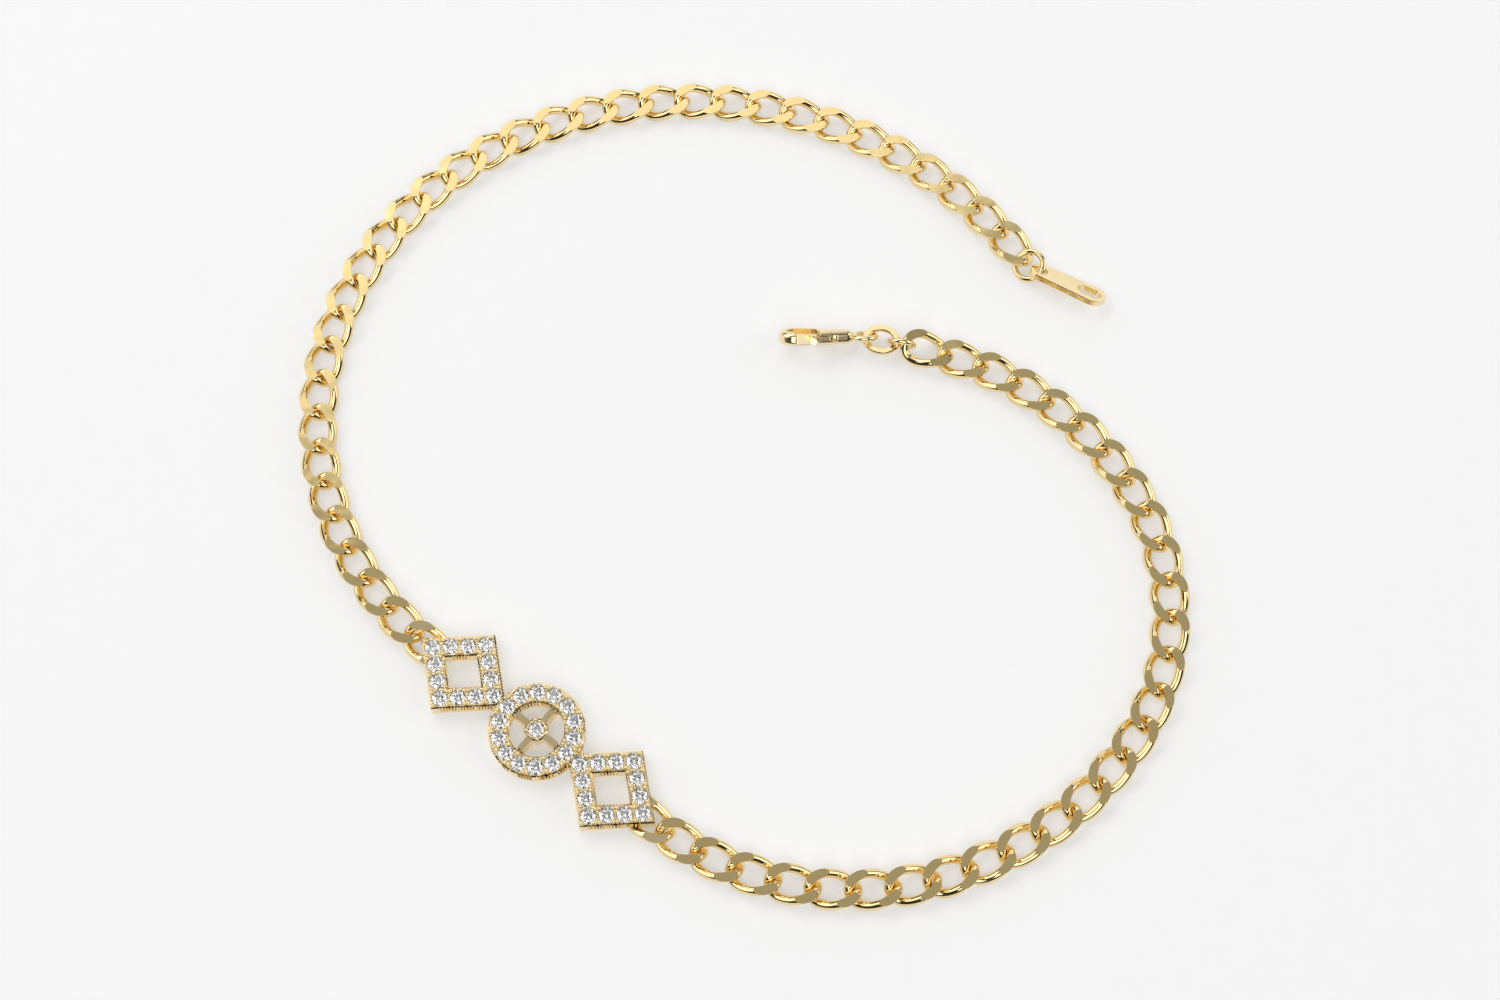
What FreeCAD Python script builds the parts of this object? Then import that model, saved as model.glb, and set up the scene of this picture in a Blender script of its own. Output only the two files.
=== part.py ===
import FreeCAD, Part
import math
import os
import Sketcher
from FreeCAD import Placement, Rotation, Vector

# A nameplate bracelet of polished yellow gold, lying unfastened on a flat surface.
# +Z is up and z = 0 is the surface. The nameplate lies along X at the front (-Y side),
# and the two lengths of curb chain run from its ends round to the back.

doc = FreeCAD.newDocument("nameplate_bracelet")

# The driving dimensions, in millimetres and degrees.
DIMENSIONS = {
    # curb chain
    "link_pitch": 2.725,
    "link_length": 4.04,
    "link_width": 2.86,
    "link_wire": 0.67,
    "link_twist": 0.48,
    "chain_thickness": 1.04,
    "run_gap": 0.095,
    "end_link_lift": 0.30,
    "end_link_tilt": 10.0,
    # nameplate
    "plate_thickness": 1.20,
    "plate_front": 24.60,
    "strip_width": 1.45,
    "ring_radius": 2.65,
    "stone_pitch": 1.24,
    "stones_per_side": 3,
    "lozenge_rise": 2.46,
    "boss_radius": 0.80,
    "spoke_width": 0.50,
    "spoke_count": 4,
    "solder_depth": 1.10,
    "plate_link_reach": 10.05,
    # ring and tag on the left chain
    "tag_ring_radius": 1.065,
    "tag_ring_wire": 0.42,
    "tag_ring_slack": 0.12,
    "tag_ring_height": 0.61,
    "tag_ring_tilt": 9.0,
    "tag_ring_roll": 20.0,
    "tag_thickness": 0.45,
    "tag_start": 0.0,
    "tag_near_radius": 0.80,
    "tag_far_radius": 1.00,
    "tag_span": 4.15,
    "tag_hole_radius": 0.48,
    "tag_slot_start": 3.50,
    "tag_slot_end": 4.25,
    "tag_slot_radius": 0.54,
    "tag_roll": 32.0,
    "tag_height": 0.75,
    # rings on the right chain
    "small_ring_radius": 0.89,
    "small_ring_wire": 0.42,
    "small_ring_slack": 0.09,
    "small_ring_roll": 75.0,
    "small_ring_height": 1.08,
    "oval_length": 2.80,
    "oval_width": 2.35,
    "oval_wire": 0.50,
    "oval_thickness": 0.40,
    "oval_slack": 0.06,
    "oval_height": 0.88,
    "oval_tilt": 4.0,
    # lobster clasp, measured from the centre of its eyelet
    "eyelet_radius": 0.835,
    "eyelet_wire": 0.43,
    "eyelet_slack": 0.25,
    "body_thickness": 1.00,
    "tail_centre": 1.35,
    "tail_radius": 0.52,
    "nose_centre": 5.10,
    "nose_radius": 1.17,
    "body_fillet": 0.35,
    "hook_start": 4.05,
    "hook_end": 5.10,
    "hook_radius": 0.58,
    "pivot_along": 2.60,
    "pivot_across": 0.42,
    "rivet_radius": 0.15,
    "rivet_clearance": 0.03,
    "heel_radius": 0.30,
    "lever_reach": 2.55,
    "lever_clearance": 0.07,
    "mouth_start": 3.35,
    "mouth_floor": 0.12,
    "slot_start": 2.05,
    "slot_width": 0.46,
    "lever_web": 0.34,
    "gate_start": 3.55,
    "gate_thickness": 0.70,
    "gate_inside": 0.62,
    "gate_outside": 1.12,
    "knob_along": 3.85,
    "knob_radius": 0.26,
    "knob_start": 0.75,
    "knob_top": 1.75,
    "clasp_height": 0.89,
    "clasp_tilt": 2.6,
    "clasp_roll": 53.0,
}

# The chain, from the nameplate outwards. Each run is a row of links joined along their thread,
# and each link turns by the same angle from the one before, positive to the left. A run's
# first link hangs a little slack in the link before it, so the runs stay apart.
LEFT_RUNS = (
    {"name": "chain_left_1", "links": 9, "turn": -6.7},
    {"name": "chain_left_2", "links": 8, "turn": -6.3},
    {"name": "chain_left_3", "links": 8, "turn": -5.4},
    {"name": "chain_left_4", "links": 8, "turn": -5.1},
)
RIGHT_RUNS = (
    {"name": "chain_right_1", "links": 7, "turn": 7.0},
    {"name": "chain_right_2", "links": 7, "turn": 6.4},
    {"name": "chain_right_3", "links": 7, "turn": 8.9},
    {"name": "chain_right_4", "links": 7, "turn": 7.1},
)

# Directions on the surface that the loose ends point in, in degrees from +X.
TAG_RING_HEADING = -1.5
TAG_HEADING = 11.7
SMALL_RING_HEADING = 208.0
OVAL_HEADING = 204.5
CLASP_HEADING = 219.9

sheet = doc.addObject("Spreadsheet::Sheet", "Sizes")
for row, (alias, value) in enumerate(DIMENSIONS.items(), start=1):
    sheet.set(f"A{row}", alias)
    sheet.set(f"B{row}", str(value))
    sheet.setAlias(f"B{row}", alias)
doc.recompute()


def size(alias):
    """One driving dimension, as the sheet holds it."""
    return float(sheet.get(alias))


def pose(point, heading, tilt=0.0, roll=0.0):
    """A placement whose own X points along heading, dips by tilt and rolls by roll."""
    return Placement(point, Rotation(heading, tilt, roll))


def step_from(point, heading, distance):
    """The point that lies a distance away from another, level with it."""
    angle = math.radians(heading)
    return point + Vector(math.cos(angle), math.sin(angle), 0) * distance


# Sketches and features


def new_body(name):
    body = doc.addObject("PartDesign::Body", name)
    body.Label = name
    return body


def origin_feature(body, role):
    return next(f for f in body.Origin.OriginFeatures if f.Role == role)


def new_sketch(body, name, plane="XY_Plane"):
    sketch = body.newObject("Sketcher::SketchObject", name)
    sketch.AttachmentSupport = (origin_feature(body, plane), [""])
    sketch.MapMode = "FlatFace"
    return sketch


def constrain(sketch, name, constraint, expression):
    """Adds a dimension to a sketch and binds it to the sheet."""
    index = sketch.addConstraint(constraint)
    sketch.renameConstraint(index, name)
    sketch.setExpression(f"Constraints.{name}", expression)


def sketch_circle(sketch, name, radius, radius_from):
    """A circle about the sketch's origin, whose radius is bound."""
    circle = sketch.addGeometry(Part.Circle(Vector(), Vector(0, 0, 1), radius), False)
    sketch.addConstraint(Sketcher.Constraint("Coincident", circle, 3, -1, 1))
    constrain(sketch, name, Sketcher.Constraint("Radius", circle, radius), radius_from)


def sketch_polygon(sketch, corners):
    """A closed outline of straight lines. Returns the first line's index."""
    first = None
    for here, there in zip(corners, corners[1:] + corners[:1]):
        line = sketch.addGeometry(Part.LineSegment(here, there), False)
        first = line if first is None else first
    count = len(corners)
    for k in range(count):
        joint = Sketcher.Constraint("Coincident", first + k, 2, first + (k + 1) % count, 1)
        sketch.addConstraint(joint)
    return first


def sketch_tapered_slot(sketch, name, near, far):
    """Two arcs centred on the X axis, joined by the two lines that touch both.

    near and far are each (centre alias, radius alias).
    """
    x1, r1 = size(near[0]), size(near[1])
    x2, r2 = size(far[0]), size(far[1])
    lean = math.asin((r2 - r1) / (x2 - x1))
    side = Vector(-math.sin(lean), math.cos(lean), 0)
    down = Vector(side.x, -side.y, 0)
    c1, c2 = Vector(x1, 0, 0), Vector(x2, 0, 0)
    start = math.pi / 2 + lean
    arcs = (
        Part.ArcOfCircle(Part.Circle(c1, Vector(0, 0, 1), r1), start, 2 * math.pi - start),
        Part.ArcOfCircle(Part.Circle(c2, Vector(0, 0, 1), r2), -start, start),
    )
    tail = sketch.addGeometry(arcs[0], False)
    nose = sketch.addGeometry(arcs[1], False)
    top = sketch.addGeometry(Part.LineSegment(c1 + side * r1, c2 + side * r2), False)
    bottom = sketch.addGeometry(Part.LineSegment(c2 + down * r2, c1 + down * r1), False)
    for joint in (
        Sketcher.Constraint("Tangent", tail, 1, top, 1),
        Sketcher.Constraint("Tangent", top, 2, nose, 2),
        Sketcher.Constraint("Tangent", nose, 1, bottom, 1),
        Sketcher.Constraint("Tangent", bottom, 2, tail, 2),
        Sketcher.Constraint("PointOnObject", tail, 3, -1),
        Sketcher.Constraint("PointOnObject", nose, 3, -1),
    ):
        sketch.addConstraint(joint)
    for arc, end, (centre, radius) in ((tail, "near", near), (nose, "far", far)):
        place = Sketcher.Constraint("DistanceX", -1, 1, arc, 3, size(centre))
        constrain(sketch, f"{name}_{end}_centre", place, f"Sizes.{centre}")
        constrain(
            sketch,
            f"{name}_{end}_radius",
            Sketcher.Constraint("Radius", arc, size(radius)),
            f"Sizes.{radius}",
        )


def pad(body, sketch, name, length, midplane=True):
    feature = body.newObject("PartDesign::Pad", name)
    feature.Profile = sketch
    feature.SideType = "Symmetric" if midplane else "One side"
    feature.setExpression("Length", length)
    return feature


def pocket(body, sketch, name, length=None):
    """Cuts a sketch through the whole body, or to a length shared by both sides."""
    feature = body.newObject("PartDesign::Pocket", name)
    feature.Profile = sketch
    feature.SideType = "Symmetric"
    feature.setExpression("Length", length or "Sizes.body_thickness * 2")
    return feature


def fillet(body, base, name, radius, chosen):
    """Rounds the edges of a feature that the test picks out."""
    doc.recompute()
    names = [f"Edge{k}" for k, edge in enumerate(base.Shape.Edges, start=1) if chosen(edge)]
    feature = body.newObject("PartDesign::Fillet", name)
    feature.Base = (base, names)
    feature.setExpression("Radius", radius)
    return feature


def set_shape(name, shape, placement=None):
    """A sub-part whose shape is worked out here from the sheet's sizes."""
    feature = doc.addObject("Part::Feature", name)
    feature.Label = name
    feature.Shape = shape
    feature.Placement = placement or Placement()
    return feature


# Curb link: an oval loop of round wire, twisted out of its plane and then cut flat top and bottom


def tangent_arc(start, direction, end):
    """The arc that leaves start along direction and reaches end."""
    chord = end - start
    towards = direction.cross(chord).cross(direction).normalize()
    radius = chord.dot(chord) / (2 * chord.dot(towards))
    sweep = 2 * math.atan2(chord.dot(towards), chord.dot(direction))
    centre = start + towards * radius
    middle = centre - towards * radius * math.cos(sweep / 2) + direction * radius * math.sin(sweep / 2)
    return Part.Arc(start, middle, end).toShape()


def quarter_loop(half_length, half_width, twist):
    """Two tangent arcs, from the loop's end on +X to its side on +Y.

    The loop lies on the saddle z = -twist * x * y, so both points are at mid height.
    """
    end, side = Vector(half_length, 0, 0), Vector(0, half_width, 0)
    leave = Vector(0, 1, -twist * half_length).normalize()
    arrive = Vector(-1, 0, twist * half_width).normalize()
    chord, both = side - end, leave + arrive
    a = 2 * (1 - leave.dot(arrive))
    b = 2 * chord.dot(both)
    reach = (-b + math.sqrt(b * b + 4 * a * chord.dot(chord))) / (2 * a)
    corner, next_corner = end + leave * reach, side - arrive * reach
    middle = (corner + next_corner) * 0.5
    slope = (next_corner - corner).normalize()
    return [tangent_arc(end, leave, middle), tangent_arc(middle, slope, side)]


def wire_loop(length, width, wire, twist, thickness):
    """A closed loop of round wire, twisted and cut flat to a thickness."""
    half_length = (length - wire) / 2
    quarter = quarter_loop(half_length, (width - wire) / 2, twist)
    edges = list(quarter)
    for axis in (Vector(1, 0, 0), Vector(0, 1, 0), Vector(0, 0, 1)):
        for edge in quarter:
            turned = edge.copy()
            turned.rotate(Vector(0, 0, 0), axis, 180)
            edges.append(turned)
    path = Part.Wire(Part.__sortEdges__(edges))
    start = path.Edges[0]
    ends = [start.valueAt(start.FirstParameter), start.valueAt(start.LastParameter)]
    at_first = min(ends, key=lambda point: point.distanceToPoint(path.OrderedVertexes[0].Point))
    parameter = start.Curve.parameter(at_first)
    circle = Part.Circle(at_first, start.tangentAt(parameter), wire / 2)
    tube = path.makePipe(Part.Wire([circle.toShape()]))
    tube.sewShape()
    solid = Part.Solid(tube)
    if solid.Volume < 0:
        solid.reverse()
    slab = Part.makeBox(2 * length, 2 * width, thickness, Vector(-length, -width, -thickness / 2))
    return solid.common(slab).Solids[0]


def placed(shape, placement):
    """A copy of a shape, moved to a placement."""
    copy = shape.copy()
    copy.Placement = placement
    return copy


CURB_LINK = wire_loop(
    size("link_length"),
    size("link_width"),
    size("link_wire"),
    size("link_twist"),
    size("chain_thickness"),
)
MIDDLE = size("chain_thickness") / 2
FUSE_TOLERANCE = 0.001
PLATE_CENTRE = Vector(0, -size("plate_front"), 0)


def plate_link_pose(direction):
    """The link that is soldered to the nameplate's end: direction is -1 on the left, 1 on the right."""
    point = PLATE_CENTRE + Vector(direction * size("plate_link_reach"), 0, MIDDLE)
    return point, 0.0 if direction > 0 else 180.0


def walk_chain(direction, runs):
    """The place and heading of every link of each run, one list per run."""
    point, heading = plate_link_pose(direction)
    placed_runs = []
    for run in runs:
        links = []
        for number in range(run["links"]):
            slack = size("run_gap") if number == 0 else 0.0
            point = step_from(point, heading + run["turn"] / 2, size("link_pitch") - slack)
            heading += run["turn"]
            links.append((point, heading))
        placed_runs.append(links)
    return placed_runs


def make_chain(direction, runs, end_lift=0.0, end_tilt=0.0):
    """Every run of one side as a solid, and the pose of its last link.

    The last link can be lifted and tilted up, because an upright ring carries its end.
    """
    placed_runs = walk_chain(direction, runs)
    features = []
    for run, links in zip(runs, placed_runs):
        poses = [pose(point, heading) for point, heading in links]
        if run is runs[-1]:
            point, heading = links[-1]
            poses[-1] = pose(point + Vector(0, 0, end_lift), heading, -end_tilt)
        solids = [placed(CURB_LINK, link_pose) for link_pose in poses]
        joined = solids[0].multiFuse(solids[1:], FUSE_TOLERANCE)
        features.append(set_shape(run["name"], joined.Solids[0]))
        if len(joined.Solids) != 1:
            raise RuntimeError(f"{run['name']} is {len(joined.Solids)} solids, not one")
    return features, poses[-1], placed_runs[-1][-1][1]


left_chain, left_end, left_heading = make_chain(-1, LEFT_RUNS)
right_chain, right_end, right_heading = make_chain(
    1, RIGHT_RUNS, size("end_link_lift"), size("end_link_tilt")
)


# Nameplate: strips for one row of stones each, as a spoked ring between two open lozenges,
# with half a curb link soldered to each end


def sketch_lozenge(sketch, name, centre_from, width_from, height_from, centre, width, height):
    """A lozenge on the X axis, with its centre and its two half diagonals bound."""
    corners = [
        Vector(centre - width, 0, 0),
        Vector(centre, -height, 0),
        Vector(centre + width, 0, 0),
        Vector(centre, height, 0),
    ]
    first = sketch_polygon(sketch, corners)
    sketch.addConstraint(Sketcher.Constraint("PointOnObject", first, 1, -1))
    sketch.addConstraint(Sketcher.Constraint("PointOnObject", first + 2, 1, -1))
    sketch.addConstraint(Sketcher.Constraint("Symmetric", first + 1, 1, first + 3, 1, -1))
    across = Sketcher.Constraint("DistanceX", first, 1, first + 2, 1, 2 * width)
    constrain(sketch, f"{name}_across", across, f"2 * ({width_from})")
    rise = Sketcher.Constraint("DistanceY", first + 1, 1, first + 3, 1, 2 * height)
    constrain(sketch, f"{name}_rise", rise, f"2 * ({height_from})")
    middle = Sketcher.Constraint("DistanceX", first + 1, 1, -1, 1, -centre)
    constrain(sketch, f"{name}_middle", middle, centre_from)


def make_plate():
    body = new_body("plate")
    half_strip = size("strip_width") / 2
    ring = size("ring_radius")
    sketch = new_sketch(body, "ring_outline")
    sketch_circle(sketch, "outside", ring + half_strip, "Sizes.ring_radius + Sizes.strip_width / 2")
    sketch_circle(sketch, "inside", ring - half_strip, "Sizes.ring_radius - Sizes.strip_width / 2")
    pad(body, sketch, "ring", "Sizes.plate_thickness", midplane=False)

    # The stones stand on a lozenge whose side holds a whole number of pitches. Its strip
    # reaches half a strip further out and in, measured square to the side.
    side = size("stones_per_side") * size("stone_pitch")
    rise = size("lozenge_rise")
    run = math.sqrt(side * side - rise * rise)
    lean = math.atan2(rise, run)
    centre = -(ring + size("stone_pitch") + run)
    run_from = "sqrt((Sizes.stones_per_side * Sizes.stone_pitch)^2 - Sizes.lozenge_rise^2)"
    lean_from = "asin(Sizes.lozenge_rise / (Sizes.stones_per_side * Sizes.stone_pitch))"
    centre_from = f"Sizes.ring_radius + Sizes.stone_pitch + {run_from}"
    sketch = new_sketch(body, "lozenge_outline")
    for name, sign, word in (("outside", 1, "+"), ("inside", -1, "-")):
        sketch_lozenge(
            sketch,
            name,
            centre_from,
            f"{run_from} {word} Sizes.strip_width / 2 / sin({lean_from})",
            f"Sizes.lozenge_rise {word} Sizes.strip_width / 2 / cos({lean_from})",
            centre,
            run + sign * half_strip / math.sin(lean),
            rise + sign * half_strip / math.cos(lean),
        )
    lozenge = pad(body, sketch, "lozenge", "Sizes.plate_thickness", midplane=False)
    doc.recompute()
    mirror = body.newObject("PartDesign::Mirrored", "other_lozenge")
    mirror.Originals = [lozenge]
    mirror.MirrorPlane = (origin_feature(body, "YZ_Plane"), [""])
    body.Tip = mirror

    sketch = new_sketch(body, "boss_outline")
    sketch_circle(sketch, "boss", size("boss_radius"), "Sizes.boss_radius")
    pad(body, sketch, "boss", "Sizes.plate_thickness", midplane=False)
    half_spoke = size("spoke_width") / 2
    sketch = new_sketch(body, "spoke_outline")
    first = sketch_polygon(
        sketch,
        [
            Vector(0, -half_spoke, 0),
            Vector(ring, -half_spoke, 0),
            Vector(ring, half_spoke, 0),
            Vector(0, half_spoke, 0),
        ],
    )
    for line, kind in enumerate(("Horizontal", "Vertical", "Horizontal", "Vertical"), start=first):
        sketch.addConstraint(Sketcher.Constraint(kind, line))
    sketch.addConstraint(Sketcher.Constraint("Symmetric", first, 1, first + 3, 1, -1, 1))
    length = Sketcher.Constraint("DistanceX", first, 1, first, 2, ring)
    constrain(sketch, "spoke_length", length, "Sizes.ring_radius")
    width = Sketcher.Constraint("DistanceY", first + 1, 1, first + 1, 2, 2 * half_spoke)
    constrain(sketch, "spoke_width", width, "Sizes.spoke_width")
    spoke = pad(body, sketch, "spoke", "Sizes.plate_thickness", midplane=False)
    doc.recompute()
    spokes = body.newObject("PartDesign::PolarPattern", "spokes")
    spokes.Originals = [spoke]
    spokes.Axis = (origin_feature(body, "Z_Axis"), [""])
    spokes.Angle = 360
    spokes.setExpression("Occurrences", "Sizes.spoke_count")
    body.Tip = spokes
    body.Placement = Placement(PLATE_CENTRE, Rotation())
    return body


def make_half_link(name, direction):
    """The outer part of a curb link, cut off where it runs into the nameplate."""
    point, heading = plate_link_pose(direction)
    link = placed(CURB_LINK, pose(point, heading))
    keep = Part.makeBox(
        size("link_length"),
        2 * size("link_width"),
        2 * size("chain_thickness"),
        Vector(-size("solder_depth"), -size("link_width"), -size("chain_thickness")),
    )
    return set_shape(name, link.common(placed(keep, pose(point, heading))))


nameplate = doc.addObject("Part::MultiFuse", "nameplate")
nameplate.Label = "nameplate"
nameplate.Shapes = [
    make_plate(),
    make_half_link("left_half_link", -1),
    make_half_link("right_half_link", 1),
]


# Rings


def make_round_ring(name, radius, wire, placement):
    ring = doc.addObject("Part::Torus", name)
    ring.Label = name
    ring.setExpression("Radius1", f"Sizes.{radius}")
    ring.setExpression("Radius2", f"Sizes.{wire} / 2")
    ring.Placement = placement
    return ring


def link_tip(link_pose):
    """The centre of the wire at a link's far end."""
    return link_pose.multVec(Vector((size("link_length") - size("link_wire")) / 2, 0, 0))


def linked(wire, other_wire, slack):
    """The distance between the centre lines of two linked wires that hang a little slack."""
    return (size(wire) + size(other_wire)) / 2 + size(slack)


# The round ring on the left chain's last link, and the tag that hangs on it.
tag_ring_radius = size("tag_ring_radius")
reach = tag_ring_radius - linked("link_wire", "tag_ring_wire", "tag_ring_slack")
tag_ring_centre = step_from(link_tip(left_end), left_heading, reach)
tag_ring_centre.z = size("tag_ring_height")
tag_ring = make_round_ring(
    "tag_ring",
    "tag_ring_radius",
    "tag_ring_wire",
    pose(tag_ring_centre, TAG_RING_HEADING, -size("tag_ring_tilt"), size("tag_ring_roll")),
)
reach = tag_ring_radius * math.cos(math.radians(size("tag_ring_tilt")))
tag_hole_centre = step_from(tag_ring_centre, TAG_RING_HEADING, reach)
tag_hole_centre.z = size("tag_height")

# The upright ring on the right chain's last link, the flat oval ring and the clasp's eyelet.
reach = size("small_ring_radius") - linked("link_wire", "small_ring_wire", "small_ring_slack")
small_ring_centre = step_from(link_tip(right_end), SMALL_RING_HEADING, reach)
small_ring_centre.z = size("small_ring_height")
small_ring = make_round_ring(
    "small_ring",
    "small_ring_radius",
    "small_ring_wire",
    pose(small_ring_centre, SMALL_RING_HEADING, 0, size("small_ring_roll")),
)
half_oval = (size("oval_length") - size("oval_wire")) / 2
reach = size("small_ring_radius") - linked("small_ring_wire", "oval_wire", "oval_slack") + half_oval
oval_centre = step_from(small_ring_centre, OVAL_HEADING, reach)
oval_centre.z = size("oval_height")
oval_ring = set_shape(
    "oval_ring",
    wire_loop(
        size("oval_length"),
        size("oval_width"),
        size("oval_wire"),
        0.0,
        size("oval_thickness"),
    ),
    pose(oval_centre, OVAL_HEADING, size("oval_tilt")),
)
reach = size("eyelet_radius") - linked("oval_wire", "eyelet_wire", "eyelet_slack")
eyelet_centre = step_from(step_from(oval_centre, OVAL_HEADING, half_oval), CLASP_HEADING, reach)
eyelet_centre.z = size("clasp_height")


# End tag: a flat bar, wider at its far end, with a round hole for its ring and a slot for the clasp


def make_tag():
    body = new_body("end_tag")
    sketch = new_sketch(body, "tag_outline")
    near, far = ("tag_start", "tag_near_radius"), ("tag_span", "tag_far_radius")
    sketch_tapered_slot(sketch, "bar", near, far)
    pad(body, sketch, "bar", "Sizes.tag_thickness")
    sketch = new_sketch(body, "tag_hole_outline")
    sketch_circle(sketch, "hole", size("tag_hole_radius"), "Sizes.tag_hole_radius")
    pocket(body, sketch, "tag_hole")
    sketch = new_sketch(body, "tag_slot_outline")
    near, far = ("tag_slot_start", "tag_slot_radius"), ("tag_slot_end", "tag_slot_radius")
    sketch_tapered_slot(sketch, "slot", near, far)
    pocket(body, sketch, "tag_slot")
    body.Placement = pose(tag_hole_centre, TAG_HEADING, 0, -size("tag_roll"))
    return body


end_tag = make_tag()


# Lobster clasp. Its own X runs from the eyelet to the nose, +Y is the lever's side, and Z is
# square to its two faces. It leans on its lower edge, with the lever's edge raised.

CLASP_POSE = pose(eyelet_centre, CLASP_HEADING, -size("clasp_tilt"), size("clasp_roll"))
PIVOT = Vector(size("pivot_along"), size("pivot_across"), 0)


def on_face(thickness_alias):
    """A test for edges that lie in one of the two faces of a plate of that thickness."""
    half = size(thickness_alias) / 2

    def test(edge):
        box = edge.BoundBox
        return abs(abs(box.ZMin) - half) < 1e-4 and abs(box.ZMax - box.ZMin) < 1e-4

    return test


def sketch_sector(sketch, name, radius, radius_from, left, floor):
    """The part of a disc about the pivot that lies right of one line and above another."""
    top = PIVOT.y + math.sqrt(radius**2 - (left - PIVOT.x) ** 2)
    right = PIVOT.x + math.sqrt(radius**2 - (floor - PIVOT.y) ** 2)
    start = math.atan2(floor - PIVOT.y, right - PIVOT.x)
    end = math.atan2(top - PIVOT.y, left - PIVOT.x)
    circle = Part.Circle(PIVOT, Vector(0, 0, 1), radius)
    arc = sketch.addGeometry(Part.ArcOfCircle(circle, start, end), False)
    corners = Vector(left, top, 0), Vector(left, floor, 0), Vector(right, floor, 0)
    side = sketch.addGeometry(Part.LineSegment(corners[0], corners[1]), False)
    base = sketch.addGeometry(Part.LineSegment(corners[1], corners[2]), False)
    for joint in (
        Sketcher.Constraint("Coincident", arc, 2, side, 1),
        Sketcher.Constraint("Coincident", side, 2, base, 1),
        Sketcher.Constraint("Coincident", base, 2, arc, 1),
        Sketcher.Constraint("Vertical", side),
        Sketcher.Constraint("Horizontal", base),
    ):
        sketch.addConstraint(joint)
    hold_at_pivot(sketch, name, arc)
    constrain(sketch, f"{name}_radius", Sketcher.Constraint("Radius", arc, radius), radius_from)
    return side, base


def hold_at_pivot(sketch, name, curve):
    """Binds the centre of a circle or arc to the lever's pivot."""
    along = Sketcher.Constraint("DistanceX", -1, 1, curve, 3, PIVOT.x)
    constrain(sketch, f"{name}_along", along, "Sizes.pivot_along")
    across = Sketcher.Constraint("DistanceY", -1, 1, curve, 3, PIVOT.y)
    constrain(sketch, f"{name}_across", across, "Sizes.pivot_across")


def sketch_pivot_circle(sketch, name, radius, radius_from):
    circle = sketch.addGeometry(Part.Circle(PIVOT, Vector(0, 0, 1), radius), False)
    hold_at_pivot(sketch, name, circle)
    constrain(sketch, f"{name}_radius", Sketcher.Constraint("Radius", circle, radius), radius_from)


def make_clasp_body():
    """A tapered body with a hooked nose, an open mouth, a slot for the lever and an eyelet."""
    body = new_body("clasp_body")
    sketch = new_sketch(body, "body_outline")
    near, far = ("tail_centre", "tail_radius"), ("nose_centre", "nose_radius")
    sketch_tapered_slot(sketch, "outline", near, far)
    blank = pad(body, sketch, "body_blank", "Sizes.body_thickness")
    fillet(body, blank, "body_rounding", "Sizes.body_fillet", on_face("body_thickness"))

    sketch = new_sketch(body, "hook_outline")
    near, far = ("hook_start", "hook_radius"), ("hook_end", "hook_radius")
    sketch_tapered_slot(sketch, "hook", near, far)
    pocket(body, sketch, "hook_space")

    sketch = new_sketch(body, "mouth_outline")
    sketch_sector(
        sketch,
        "mouth",
        size("lever_reach") + size("lever_clearance"),
        "Sizes.lever_reach + Sizes.lever_clearance",
        size("mouth_start"),
        size("mouth_floor"),
    )
    pocket(body, sketch, "mouth")

    sketch = new_sketch(body, "lever_slot_outline")
    left, right, top = size("slot_start"), size("gate_start"), size("nose_radius")
    corners = [Vector(left, 0, 0), Vector(right, 0, 0), Vector(right, top, 0), Vector(left, top, 0)]
    sketch_polygon(sketch, corners)
    pocket(body, sketch, "lever_slot", "Sizes.slot_width")

    sketch = new_sketch(body, "rivet_outline")
    sketch_pivot_circle(sketch, "rivet", size("rivet_radius"), "Sizes.rivet_radius")
    pad(body, sketch, "rivet", "Sizes.body_thickness")

    sketch = new_sketch(body, "eyelet_outline", "XZ_Plane")
    centre = Vector(size("eyelet_radius"), 0, 0)
    wire = size("eyelet_wire") / 2
    circle = sketch.addGeometry(Part.Circle(centre, Vector(0, 0, 1), wire), False)
    sketch.addConstraint(Sketcher.Constraint("PointOnObject", circle, 3, -1))
    reach = Sketcher.Constraint("DistanceX", -1, 1, circle, 3, centre.x)
    constrain(sketch, "eyelet_reach", reach, "Sizes.eyelet_radius")
    radius = Sketcher.Constraint("Radius", circle, wire)
    constrain(sketch, "eyelet_wire", radius, "Sizes.eyelet_wire / 2")
    eyelet = body.newObject("PartDesign::Revolution", "eyelet")
    eyelet.Profile = sketch
    eyelet.ReferenceAxis = (sketch, ["V_Axis"])
    eyelet.Angle = 360
    body.Placement = CLASP_POSE
    return body


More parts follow.
